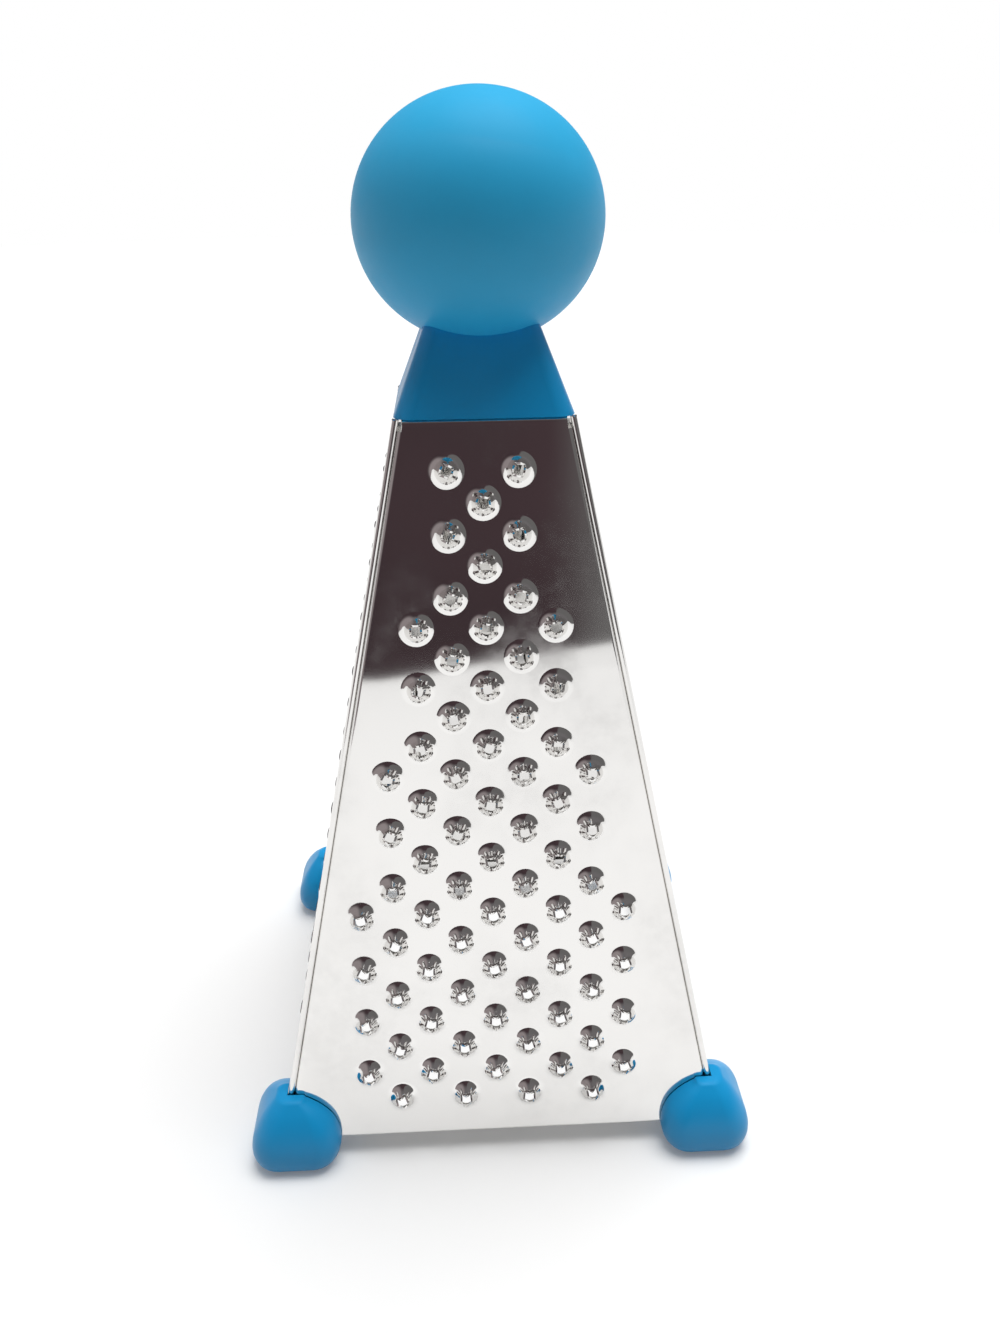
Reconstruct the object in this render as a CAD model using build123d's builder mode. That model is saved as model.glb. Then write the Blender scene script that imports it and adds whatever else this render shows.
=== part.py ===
from build123d import *
from math import atan2, cos, degrees, floor, radians, sin
import os

os.makedirs("parts", exist_ok=True)

# A small four-sided box grater: a tapered body of four punched steel sheets, locked together
# along their edges, on four corner feet, with a square collar and a ball knob on top.
# The front is at -Y, the grater stands on z = 0, and every length is in millimetres.

# Body of the grater
base_width = 59.0        # across the bottom edge of the steel
top_width = 21.4         # across the top edge of the steel
body_height = 91.4       # from the bottom edge of the steel to its top
foot_rise = 3.0          # the bottom edge's height above the table
sheet = 0.4              # thickness of the steel
top_bend = 0.9           # outer radius of the bend along the top edge
top_flange = 2.4         # how far the top edge is turned in
hem_height = 3.0         # height of the folded bottom edge
seam_bend = 0.5          # outer radius of the bend beside each lock seam
seam_depth = 3.0         # depth of the seam behind the face
seam_set_back = 0.05     # the seam's nose stands this far behind the face
mitre_gap = 0.1          # half the slit between two turned-in top edges
top_relief = 0.35        # slit between a seam and the turned-in top edge
nose_share = 0.49        # a folded edge's nose radius, as a share of the fold's thickness

# Burst teeth of the front face
burst_pitch = 8.4        # between two teeth of one row
burst_row_step = 3.72    # from one row to the next, up the face
burst_highest = 5.8      # the top row's distance from the top edge
burst_lowest = 5.6       # the bottom row's distance from the bottom edge
burst_edge = 6.0         # least distance from a tooth's centre to the face's edge
burst_foot_radius = 2.2  # where a tooth leaves the sheet
burst_waist_radius = 1.2  # where the flare ends and the petals start
burst_tip_radius = 1.4   # of the square crown at the petals' tips, to its corners
burst_waist_rise = 0.95
burst_rise = 1.9         # height of the petals' tips above the face
burst_sides = 8          # of the flare
burst_petals = 4
burst_hole_radius = 0.9  # of the square hole at the sheet, to its corners
burst_hole_tip_radius = 0.95
burst_off_centre = 0.45  # the pattern sits this far to the left
notch_floor = 1.0        # height at which two petals part
row_share = 0.25         # a last row still fits where this share of a step is missing

# Scoops of the rear face and of the left face
coarse_pitch = 8.4
coarse_row_step = 7.0
coarse_edge = 5.6
coarse_margin = 9.0      # from the last scoops to the top and bottom edges
coarse_mouth = 2.4       # half the width of a scoop's mouth
coarse_rise = 1.9        # height of its arch above the face
coarse_run = 4.2         # length of a scoop along the face
coarse_gap = 1.3         # how far the hole goes on past the mouth
fine_pitch = 6.6
fine_row_step = 6.2
fine_edge = 6.6
fine_margin = 7.6
fine_mouth = 1.5
fine_rise = 0.5
fine_run = 2.6
fine_gap = 0.9
tail_share = 0.6         # width of a scoop's closed end, as a share of its mouth's
arch_shares = ((1.0, 0.0), (0.62, 1.0))  # a scoop's section, from its side to its top

# Slicing lips of the right face
slicer_count = 3
slicer_step = 24.0       # from one lip to the next
slicer_lowest = 19.0     # the lowest lip's edge above the bottom edge
slicer_edge = 9.0        # from a lip's end to the face's edge
lip_run = 6.0            # length of a lip along the face
lip_rise = 1.4           # height of a lip's cutting edge above the face
lip_gap = 2.2            # opening ahead of the cutting edge

# Ball knob and collar
ball_radius = 14.65      # at its widest
ball_half_height = 13.8
ball_centre_above_body = 20.8
collar_foot_width = 21.2
collar_head_width = 12.6
collar_height = 10.8
collar_foot_corner = 2.2
collar_head_corner = 1.6
spigot_clearance = 0.2   # between the collar's spigot and the turned-in edges
spigot_short = 0.05      # the spigot ends this far above the plate

# Clamping of the knob
plate_width = 18.4
plate_thickness = 1.0
plate_corner = 1.5
washer_radius = 4.0
washer_thickness = 0.8
screw_radius = 1.95
screw_clearance = 0.05
screw_depth_in_ball = 15.5
bore_extra_depth = 1.0
screw_head_radius = 3.6
screw_head_height = 2.4
screw_head_bevel = 0.8
drive_width = 1.1        # width of the cross recess
drive_length = 4.2
drive_depth = 1.3

# Feet
foot_height = 9.7
foot_belly_half = 33.3   # from the axis to a foot's outer face, where it is widest
foot_crest_half = 29.7   # the same at its top
foot_end = 21.4          # from the axis to a lobe's end, where the lobe is longest
foot_end_crest = 24.4    # the same at its top
foot_corner = 2.8        # radius of a foot's outer corner
foot_end_round = 3.0     # radius of a lobe's end, seen from above
foot_inner = 24.8        # from the axis to a foot's inner face
foot_level_shares = (    # of the height, of the bulge, and of the lobe's shortening
    (0.0, 0.69, 0.67),
    (0.09, 0.88, 0.53),
    (0.28, 1.0, 0.27),
    (0.5, 0.88, 0.0),
    (0.71, 0.62, 0.15),
    (0.88, 0.33, 0.47),
    (1.0, 0.0, 1.0),
)
foot_round_share = 0.45  # of a lobe's end radius that is left at the crest
tooth_clear_of_foot = 3.0  # from a pattern's last column to the end of a foot's lobe
slot_clearance = 0.1     # between a foot and the outside of the steel
slot_width = 1.7
corner_pocket = 1.0      # radius of the pocket round the steel's corner

overrun = 2.0            # how far a cut goes past what it cuts

# Worked out from the sizes above
base_half = base_width / 2
top_half = top_width / 2
lean = (base_half - top_half) / body_height
taper = degrees(atan2(base_half - top_half, body_height))
slope_length = body_height / cos(radians(taper))
across = sheet / cos(radians(taper))
fold = 2 * across
seam_inset = fold + seam_bend
body_bottom = foot_rise
body_top = foot_rise + body_height
lap_top = body_top - top_bend - top_relief
flange_half = top_half - top_flange
flange_under = body_top - sheet
ball_centre = body_top + ball_centre_above_body


def half_at(height):
    """Half the width of the steel body at a height above the table."""
    return base_half - lean * (height - body_bottom)


def face_plane(turn):
    """The outside of one face, from the middle of its bottom edge: x across, y up the slope."""
    outward = Vector(sin(radians(turn)), -cos(radians(turn)), 0)
    return Plane(
        origin=outward * base_half + Vector(0, 0, body_bottom),
        x_dir=Vector(cos(radians(turn)), sin(radians(turn)), 0),
        z_dir=outward * cos(radians(taper)) + Vector(0, 0, sin(radians(taper))),
    )


def staggered(pitch, row_step, highest, lowest, edge):
    """Places of a staggered pattern, from the top down, clear of the face's edges and of the feet."""
    places = []
    for row in range(floor((highest - lowest) / row_step + row_share) + 1):
        up = highest - row * row_step
        room = min(half_at(body_bottom + up * cos(radians(taper))) - edge, foot_end - tooth_clear_of_foot)
        first = pitch / 2 if row % 2 == 0 else 0
        if first > room:
            continue
        for step in range(floor((room - first) / pitch) + 1):
            column = first + pitch * step
            places.append((column, up))
            if column > 0:
                places.append((-column, up))
    return places


def arch(half, low, high):
    """Outline of a scoop's section: a low arch of the given half width between two heights."""
    left = [(-half * share, low + (high - low) * up) for share, up in arch_shares]
    return [*left, *[(-x, y) for x, y in reversed(left)]]


def hood(mouth, rise, run, gap):
    """Outside and inside of one scoop, which rises out of the face towards its mouth."""
    tail = mouth * tail_share
    with BuildPart(mode=Mode.PRIVATE) as outside:
        for plane, outline in (
            (Plane.XZ, arch(mouth, -sheet / 2, rise)),
            (Plane.XZ.offset(run), arch(tail, -3 * sheet / 4, -sheet / 2)),
        ):
            with BuildSketch(plane):
                with BuildLine():
                    Polyline(*outline, close=True)
                make_face()
        loft(ruled=True)
    with BuildPart(mode=Mode.PRIVATE) as inside:
        for plane, outline in (
            (Plane.XZ, arch(mouth - sheet, -3 * sheet / 2, rise - sheet)),
            (Plane.XZ.offset(run), arch(tail - sheet, -2 * sheet, -3 * sheet / 2)),
        ):
            with BuildSketch(plane):
                with BuildLine():
                    Polyline(*outline, close=True)
                make_face()
        loft(ruled=True)
        with BuildSketch(Plane.XZ.offset(-gap)):
            with BuildLine():
                Polyline(*arch(mouth - sheet, -3 * sheet / 2, rise - sheet), close=True)
            make_face()
        extrude(amount=gap)
    return outside.part, inside.part


# Plain sheet facing the front: its top edge is turned in, its bottom edge is folded, and it
# stops short of the seams at both sides
with BuildPart() as sheet_blank:
    with BuildSketch(Plane.YZ):
        with BuildLine():
            FilletPolyline(
                (-flange_half, body_top),
                (-top_half, body_top),
                (-half_at(body_bottom + sheet), body_bottom + sheet),
                radius=top_bend,
            )
            offset(amount=sheet, side=Side.LEFT)
        make_face()
    extrude(amount=base_half, both=True)
    with BuildSketch(
        Plane(
            origin=(0, -base_half, body_bottom),
            x_dir=(0, sin(radians(taper)), cos(radians(taper))),
            z_dir=(1, 0, 0),
        )
    ) as fold_section:
        with Locations((hem_height / 2, -sheet)):
            Rectangle(hem_height, 2 * sheet)
        fillet(fold_section.vertices().group_by(Axis.X)[0], radius=2 * sheet * nose_share)
    extrude(amount=base_half, both=True)
    with BuildSketch(Plane.XZ):
        with BuildLine():
            Polyline(
                (-base_half + seam_inset, body_bottom),
                (base_half - seam_inset, body_bottom),
                (top_half - seam_inset, body_top),
                (-top_half + seam_inset, body_top),
                close=True,
            )
        make_face()
    extrude(amount=base_half + overrun, both=True, mode=Mode.INTERSECT)
    with BuildSketch():
        with BuildLine():
            Polyline(
                (0, -mitre_gap),
                (base_half + overrun, -base_half - overrun - mitre_gap),
                (-base_half - overrun, -base_half - overrun - mitre_gap),
                close=True,
            )
        make_face()
    extrude(amount=body_top + overrun, mode=Mode.INTERSECT)

# Front and rear sheets: each side edge is bent back and laps the inside of the seam
with BuildPart() as lapped_blank:
    for height in (body_bottom, lap_top):
        half = half_at(height)
        with BuildSketch(Plane.XY.offset(height)):
            with BuildLine():
                FilletPolyline(
                    (-half + seam_inset + across, -half),
                    (-half + fold, -half),
                    (-half + fold, -half + seam_depth),
                    radius=seam_bend,
                )
                offset(amount=across, side=Side.RIGHT)
            make_face()
    loft(ruled=True)
    mirror(about=Plane.YZ)
    add(sheet_blank.part)

# Left and right sheets: each side edge is folded flat and makes the bead of the seam
with BuildPart() as beaded_blank:
    for height in (body_bottom, body_top):
        half = half_at(height)
        with BuildSketch(Plane.XY.offset(height)) as bead_section:
            with Locations((-half + (seam_depth + seam_set_back) / 2, -half + fold / 2)):
                Rectangle(seam_depth - seam_set_back, fold)
            fillet(bead_section.vertices().group_by(Axis.X)[0], radius=fold * nose_share)
    loft(ruled=True)
    mirror(about=Plane.YZ)
    add(sheet_blank.part)

# One burst tooth: an eight-sided flare that ends in a square crown, which is torn at its
# corners into four pointed petals
crown_top = burst_rise + sheet
crown_spread = (burst_tip_radius - burst_waist_radius) / (burst_rise - burst_waist_rise)
notch_climb = 2 * (burst_rise - notch_floor) / burst_tip_radius
notch_top = notch_floor + notch_climb * burst_foot_radius
with BuildPart() as burst:
    with BuildSketch(Plane.XY.offset(-sheet / 2)):
        RegularPolygon(burst_foot_radius, burst_sides)
    with BuildSketch(Plane.XY.offset(burst_waist_rise)):
        RegularPolygon(burst_waist_radius, burst_sides)
    loft(ruled=True)
    with BuildSketch(Plane.XY.offset(burst_waist_rise)):
        RegularPolygon(burst_waist_radius, burst_petals, rotation=45)
    with BuildSketch(Plane.XY.offset(crown_top)):
        RegularPolygon(burst_tip_radius + crown_spread * sheet, burst_petals, rotation=45)
    loft(ruled=True)
    for notch_plane in (
        Plane(origin=(0, 0, 0), x_dir=(1, 1, 0), z_dir=(1, -1, 0)),
        Plane(origin=(0, 0, 0), x_dir=(1, -1, 0), z_dir=(-1, -1, 0)),
    ):
        with BuildSketch(notch_plane):
            with BuildLine():
                Polyline(
                    (0, notch_floor),
                    (burst_foot_radius, notch_top),
                    (-burst_foot_radius, notch_top),
                    close=True,
                )
            make_face()
        extrude(amount=burst_foot_radius, both=True, mode=Mode.SUBTRACT)

# The square hole through a burst tooth
with BuildPart() as burst_hole:
    with BuildSketch(Plane.XY.offset(-sheet)):
        RegularPolygon(burst_hole_radius, burst_petals, rotation=45)
    with BuildSketch(Plane.XY.offset(crown_top)):
        RegularPolygon(burst_hole_tip_radius, burst_petals, rotation=45)
    loft(ruled=True)

# Front: burst teeth in staggered rows
with BuildPart() as front_panel:
    add(lapped_blank.part)
    with Locations(face_plane(0)):
        with Locations((-burst_off_centre, 0)):
            with Locations(
                *staggered(
                    burst_pitch, burst_row_step, slope_length - burst_highest, burst_lowest, burst_edge
                )
            ):
                add(burst.part)
                add(burst_hole.part, mode=Mode.SUBTRACT)

# Rear: coarse scoops that open upwards
coarse_hood, coarse_hollow = hood(coarse_mouth, coarse_rise, coarse_run, coarse_gap)
with BuildPart() as rear_panel:
    add(lapped_blank.part, rotation=(0, 0, 180))
    with Locations(face_plane(180)):
        with Locations(
            *staggered(
                coarse_pitch, coarse_row_step, slope_length - coarse_margin, coarse_margin, coarse_edge
            )
        ):
            add(coarse_hood)
            add(coarse_hollow, mode=Mode.SUBTRACT)

# Left: small scoops with a low arch
fine_hood, fine_hollow = hood(fine_mouth, fine_rise, fine_run, fine_gap)
with BuildPart() as left_panel:
    add(beaded_blank.part, rotation=(0, 0, -90))
    with Locations(face_plane(-90)):
        with Locations(
            *staggered(fine_pitch, fine_row_step, slope_length - fine_margin, fine_margin, fine_edge)
        ):
            add(fine_hood)
            add(fine_hollow, mode=Mode.SUBTRACT)

# Right: broad slicing lips, each as wide as the tapered face allows
with BuildPart() as right_panel:
    add(beaded_blank.part, rotation=(0, 0, 90))
    for number in range(slicer_count):
        up = slicer_lowest + number * slicer_step
        lip_half = half_at(body_bottom + up * cos(radians(taper))) - slicer_edge
        lip_plane = face_plane(90)
        section = Plane(
            origin=lip_plane.from_local_coords((0, up, 0)),
            x_dir=lip_plane.y_dir,
            z_dir=lip_plane.x_dir,
        )
        with BuildSketch(section):
            with BuildLine():
                Polyline(
                    (-lip_run, -sheet / 2), (-lip_run, 0), (0, lip_rise), (0, -sheet / 2), close=True
                )
            make_face()
        extrude(amount=lip_half, both=True)
        with BuildSketch(section):
            with BuildLine():
                Polyline(
                    (-lip_run + sheet, -sheet - overrun),
                    (-lip_run + sheet, -sheet),
                    (0, lip_rise - sheet),
                    (lip_gap, lip_rise - sheet),
                    (lip_gap, -sheet - overrun),
                    close=True,
                )
            make_face()
        extrude(amount=lip_half - sheet, both=True, mode=Mode.SUBTRACT)

# Ball knob, slightly flattened, with a blind bore for the screw
screw_tip = ball_centre - ball_half_height + screw_depth_in_ball
with BuildPart() as flat_ball:
    Sphere(ball_radius)
    scale(by=(1, 1, ball_half_height / ball_radius))

with BuildPart() as knob_ball:
    with Locations((0, 0, ball_centre)):
        add(flat_ball.part)
    with Locations((0, 0, screw_tip + bore_extra_depth)):
        Cylinder(
            screw_radius + screw_clearance,
            2 * ball_half_height,
            align=(Align.CENTER, Align.CENTER, Align.MAX),
            mode=Mode.SUBTRACT,
        )

# Square collar that tapers up to the ball, with a spigot between the turned-in edges
with BuildPart() as neck_collar:
    with BuildSketch(Plane.XY.offset(body_top)):
        RectangleRounded(collar_foot_width, collar_foot_width, collar_foot_corner)
    with BuildSketch(Plane.XY.offset(body_top + collar_height)):
        RectangleRounded(collar_head_width, collar_head_width, collar_head_corner)
    loft(ruled=True)
    with Locations((0, 0, ball_centre)):
        add(flat_ball.part, mode=Mode.SUBTRACT)
    spigot_width = 2 * (flange_half - spigot_clearance)
    with BuildSketch(Plane.XY.offset(body_top)):
        Rectangle(spigot_width, spigot_width)
    extrude(amount=spigot_short - sheet)
    with Locations((0, 0, body_top)):
        Cylinder(screw_radius + screw_clearance, 2 * ball_centre_above_body, mode=Mode.SUBTRACT)

# Plate under the turned-in edges, clamped to the collar by the screw
plate_under = flange_under - plate_thickness
with BuildPart() as clamp_plate:
    with BuildSketch(Plane.XY.offset(plate_under)):
        RectangleRounded(plate_width, plate_width, plate_corner)
        Circle(screw_radius + screw_clearance, mode=Mode.SUBTRACT)
    extrude(amount=plate_thickness)

with BuildPart() as washer:
    with BuildSketch(Plane.XY.offset(plate_under - washer_thickness)):
        Circle(washer_radius)
        Circle(screw_radius + screw_clearance, mode=Mode.SUBTRACT)
    extrude(amount=washer_thickness)

# Screw from below, through the plate and the collar into the ball
head_top = plate_under - washer_thickness
with BuildPart() as knob_screw:
    with Locations((0, 0, head_top)):
        Cylinder(
            screw_radius, screw_tip - head_top, align=(Align.CENTER, Align.CENTER, Align.MIN)
        )
        Cylinder(
            screw_head_radius, screw_head_height, align=(Align.CENTER, Align.CENTER, Align.MAX)
        )
    chamfer(knob_screw.edges().group_by(Axis.Z)[0], length=screw_head_bevel)
    with BuildSketch(Plane.XY.offset(head_top - screw_head_height)):
        Rectangle(drive_length, drive_width)
        Rectangle(drive_width, drive_length)
    extrude(amount=drive_depth, mode=Mode.SUBTRACT)

# Room for the steel's corner in a foot
with BuildPart() as corner_slot:
    slot_top = foot_height + overrun
    for height in (body_bottom, slot_top):
        with BuildSketch(Plane.XY.offset(height)):
            Rectangle(2 * (half_at(height) + slot_clearance), 2 * (half_at(height) + slot_clearance))
    loft(ruled=True)
    for height in (body_bottom, slot_top):
        slot_inner = half_at(height) + slot_clearance - slot_width
        with BuildSketch(Plane.XY.offset(height)) as inner_section:
            Rectangle(2 * slot_inner, 2 * slot_inner)
    loft(ruled=True, mode=Mode.SUBTRACT)
    pocket_place = half_at(foot_height)
    with Locations((-pocket_place, -pocket_place, body_bottom)):
        Cylinder(
            corner_pocket, slot_top - body_bottom, align=(Align.CENTER, Align.CENTER, Align.MIN)
        )

# Corner foot: a cushion-like cap round the corner, with two lobes and a slot for the steel
with BuildPart() as front_left_foot:
    for height_share, bulge_share, end_share in foot_level_shares:
        half = foot_crest_half + (foot_belly_half - foot_crest_half) * bulge_share
        end = foot_end + (foot_end_crest - foot_end) * end_share
        end_round = foot_end_round * (foot_round_share + (1 - foot_round_share) * bulge_share)
        with BuildSketch(Plane.XY.offset(foot_height * height_share)) as level:
            with BuildLine():
                Polyline(
                    (-end, -half),
                    (-half, -half),
                    (-half, -end),
                    (-foot_inner, -end),
                    (-foot_inner, -foot_inner),
                    (-end, -foot_inner),
                    close=True,
                )
            make_face()
            outer = level.vertices().sort_by_distance((-half, -half))
            fillet(outer[0], radius=foot_corner)
            for place in ((-end, -half), (-half, -end)):
                fillet(level.vertices().sort_by_distance(place)[0], radius=end_round)
    loft(ruled=True)
    add(corner_slot.part, mode=Mode.SUBTRACT)

with BuildPart() as front_right_foot:
    mirror(front_left_foot.part, about=Plane.YZ)

with BuildPart() as rear_left_foot:
    mirror(front_left_foot.part, about=Plane.XZ)

with BuildPart() as rear_right_foot:
    mirror(rear_left_foot.part, about=Plane.YZ)

pieces = {
    "front_panel": front_panel,
    "rear_panel": rear_panel,
    "left_panel": left_panel,
    "right_panel": right_panel,
    "knob_ball": knob_ball,
    "neck_collar": neck_collar,
    "clamp_plate": clamp_plate,
    "washer": washer,
    "knob_screw": knob_screw,
    "front_left_foot": front_left_foot,
    "front_right_foot": front_right_foot,
    "rear_left_foot": rear_left_foot,
    "rear_right_foot": rear_right_foot,
}
for name, piece in pieces.items():
    piece.part.label = name
    export_step(piece.part, f"parts/{name}.step")
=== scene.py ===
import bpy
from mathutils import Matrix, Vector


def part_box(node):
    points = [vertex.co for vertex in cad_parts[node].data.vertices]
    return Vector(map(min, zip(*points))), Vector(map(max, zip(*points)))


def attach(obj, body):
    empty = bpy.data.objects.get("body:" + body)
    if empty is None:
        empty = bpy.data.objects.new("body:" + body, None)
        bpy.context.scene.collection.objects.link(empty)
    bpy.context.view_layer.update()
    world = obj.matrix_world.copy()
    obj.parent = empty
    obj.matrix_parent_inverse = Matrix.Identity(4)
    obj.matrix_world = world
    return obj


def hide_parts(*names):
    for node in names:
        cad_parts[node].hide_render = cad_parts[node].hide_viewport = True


bl_info = {
    "name": "Small box grater",
    "version": (1, 0, 0),
    "blender": (4, 5, 0),
    "location": "View3D > Sidebar > Grater",
    "description": "Dresses a packed box grater: punched sheets, finishes and a small photo studio",
    "category": "Add Mesh",
}

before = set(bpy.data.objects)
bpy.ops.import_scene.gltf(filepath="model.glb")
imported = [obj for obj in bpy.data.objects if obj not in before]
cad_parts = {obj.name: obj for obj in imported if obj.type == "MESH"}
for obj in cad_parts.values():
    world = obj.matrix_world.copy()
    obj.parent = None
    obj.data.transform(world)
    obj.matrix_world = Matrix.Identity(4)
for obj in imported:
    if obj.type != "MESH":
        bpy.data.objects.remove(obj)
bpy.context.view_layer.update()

from math import atan2, cos, floor, pi, radians, sin, tan
from random import Random

import bmesh
import bpy
from bpy.props import FloatProperty, FloatVectorProperty, IntProperty, PointerProperty
from mathutils import Matrix, Vector
from mathutils.geometry import delaunay_2d_cdt

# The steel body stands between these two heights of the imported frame
BODY_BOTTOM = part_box("left_panel")[0].z
BODY_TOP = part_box("left_panel")[1].z

MM = 0.001

# Points of a mesh that are closer together than this are joined
SHEET_JOIN = 0.002 * MM
FOOT_JOIN = 0.001 * MM

# Share of a sheet's thickness that is left where its thickness group says 0
LEAST_THICKNESS = 0.3

# Edges that bend by more than this stay sharp, in degrees
SHEET_CREASE = 38
FOOT_CREASE = 40

# Turn of each face and of each foot about the upright axis, in degrees
FACES = {"front": 0, "right": 90, "rear": 180, "left": -90}
FOOT_TURNS = {
    "front_left_foot": 0,
    "front_right_foot": 90,
    "rear_right_foot": 180,
    "rear_left_foot": -90,
}


def length(name, description, default, soft_max=0.2):
    """A size in metres, as the sidebar shows it."""
    return FloatProperty(
        name=name,
        description=description,
        default=default,
        min=0.0,
        soft_max=soft_max,
        precision=5,
        unit="LENGTH",
        subtype="DISTANCE",
    )


def share(name, description, default, soft_max=1.0):
    """A plain number without a unit."""
    return FloatProperty(
        name=name, description=description, default=default, min=0.0, soft_max=soft_max, precision=3
    )


def colour(name, description, default):
    """A colour in linear light."""
    return FloatVectorProperty(
        name=name, description=description, default=default, min=0.0, max=1.0, subtype="COLOR", size=3
    )


def bearing(name, description, degrees):
    """An angle, given in degrees."""
    return FloatProperty(
        name=name, description=description, default=radians(degrees), subtype="ANGLE"
    )


def standpoint(name, description, default):
    """A place in the room."""
    return FloatVectorProperty(
        name=name,
        description=description,
        default=default,
        subtype="TRANSLATION",
        unit="LENGTH",
        precision=5,
        size=3,
    )


def points_round(description, default):
    """How finely a round form is divided."""
    return IntProperty(name="Around", description=description, default=default, min=8, max=64)


class GraterBodySizes(bpy.types.PropertyGroup):
    """Sizes of the four bent sheets."""

    base_width: length("Base width", "Across the bottom edge of the steel", 59.0 * MM)
    top_width: length("Top width", "Across the top edge of the steel", 21.4 * MM)
    sheet: length("Sheet", "Thickness of the steel", 0.4 * MM)
    top_bend: length("Top bend", "Outer radius of the bend along the top edge", 0.9 * MM)
    top_flange: length("Top flange", "How far the top edge is turned in", 2.4 * MM)
    hem_height: length("Hem height", "Height of the folded bottom edge", 3.0 * MM)
    seam_bend: length("Seam bend", "Outer radius of the bend beside a lock seam", 0.5 * MM)
    seam_depth: length("Seam depth", "Depth of a seam behind the face", 3.0 * MM)
    seam_set_back: length("Seam set-back", "How far a seam's nose stands behind the face", 0.05 * MM)
    top_relief: length("Top relief", "Slit between a seam and the turned-in top edge", 0.35 * MM)
    mitre_gap: length("Mitre gap", "Half the slit between two turned-in top edges", 0.1 * MM)
    foot_end: length("Foot end", "From the axis to the end of a foot's lobe", 21.4 * MM)
    tooth_clear: length("Clear of feet", "From the last column of a pattern to a foot's lobe", 3.0 * MM)


class GraterBurstSizes(bpy.types.PropertyGroup):
    """Sizes of the burst teeth of the front face."""

    pitch: length("Pitch", "Between two teeth of one row", 8.4 * MM)
    row_step: length("Row step", "From one row to the next", 3.72 * MM)
    highest: length("Highest", "The top row's distance from the top edge", 5.8 * MM)
    lowest: length("Lowest", "The bottom row's distance from the bottom edge", 5.6 * MM)
    edge: length("Edge", "Least distance from a tooth's centre to the face's edge", 6.0 * MM)
    off_centre: length("Off centre", "How far left of the middle the pattern sits", 0.45 * MM)
    foot_radius: length("Foot radius", "Where the sheet starts to rise", 2.16 * MM)
    waist_radius: length("Waist radius", "Where the petals part", 0.98 * MM)
    waist_reach: length("Petal reach", "From the axis to a petal's middle, where it starts", 0.74 * MM)
    tip_reach: length("Tip reach", "From the axis to a petal's tip", 0.86 * MM)
    waist_rise: length("Waist rise", "Height at which the petals part", 0.95 * MM)
    rise: length("Rise", "Height of the petals' tips", 1.85 * MM)
    tip_thickness: share("Tip thickness", "Share of the sheet's thickness left at a torn tip", 0.3)
    unevenness: share("Unevenness", "How much one torn petal differs from the next", 0.6)
    around: points_round("Points round one tooth", 32)


class GraterCoarseSizes(bpy.types.PropertyGroup):
    """Sizes of the coarse scoops of the rear face."""

    pitch: length("Pitch", "Between two scoops of one row", 8.4 * MM)
    row_step: length("Row step", "From one row to the next", 7.0 * MM)
    edge: length("Edge", "Least distance from a scoop's centre to the face's edge", 5.6 * MM)
    margin: length("Margin", "From the first and the last row to the face's ends", 9.0 * MM)
    mouth: length("Mouth", "Half the width of a scoop's mouth", 2.4 * MM)
    rise: length("Rise", "Height of the mouth's arch", 1.88 * MM)
    run: length("Run", "Length of a scoop along the face", 4.2 * MM)
    gap: length("Gap", "Length of the hole ahead of the mouth", 1.3 * MM)
    tail: share("Tail", "Closed end's width as a share of the mouth's", 0.6)
    around: points_round("Points over one arch and along one scoop", 16)


class GraterFineSizes(bpy.types.PropertyGroup):
    """Sizes of the fine scoops of the left face."""

    pitch: length("Pitch", "Between two scoops of one row", 6.6 * MM)
    row_step: length("Row step", "From one row to the next", 6.2 * MM)
    edge: length("Edge", "Least distance from a scoop's centre to the face's edge", 6.6 * MM)
    margin: length("Margin", "From the first and the last row to the face's ends", 7.6 * MM)
    mouth: length("Mouth", "Half the width of a scoop's mouth", 1.5 * MM)
    rise: length("Rise", "Height of the mouth's arch", 0.2 * MM)
    run: length("Run", "Length of a scoop along the face", 2.6 * MM)
    gap: length("Gap", "Length of the hole ahead of the mouth", 0.9 * MM)
    tail: share("Tail", "Closed end's width as a share of the mouth's", 0.6)
    around: points_round("Points over one arch and along one scoop", 12)


class GraterSlicerSizes(bpy.types.PropertyGroup):
    """Sizes of the slicing lips of the right face."""

    count: IntProperty(name="Count", description="Slicing lips", default=3, min=1, max=6)
    step: length("Step", "From one lip to the next", 24.0 * MM)
    lowest: length("Lowest", "The lowest cutting edge above the bottom edge", 19.0 * MM)
    edge: length("Edge", "From a lip's end to the face's edge", 9.0 * MM)
    run: length("Run", "Length of a lip along the face", 6.0 * MM)
    rise: length("Rise", "Height of the cutting edge above the face", 0.8 * MM)
    gap: length("Gap", "Opening ahead of the cutting edge", 2.2 * MM)
    shoulder: length("Shoulder", "Width of a lip's rounded side", 5.0 * MM)


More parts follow.
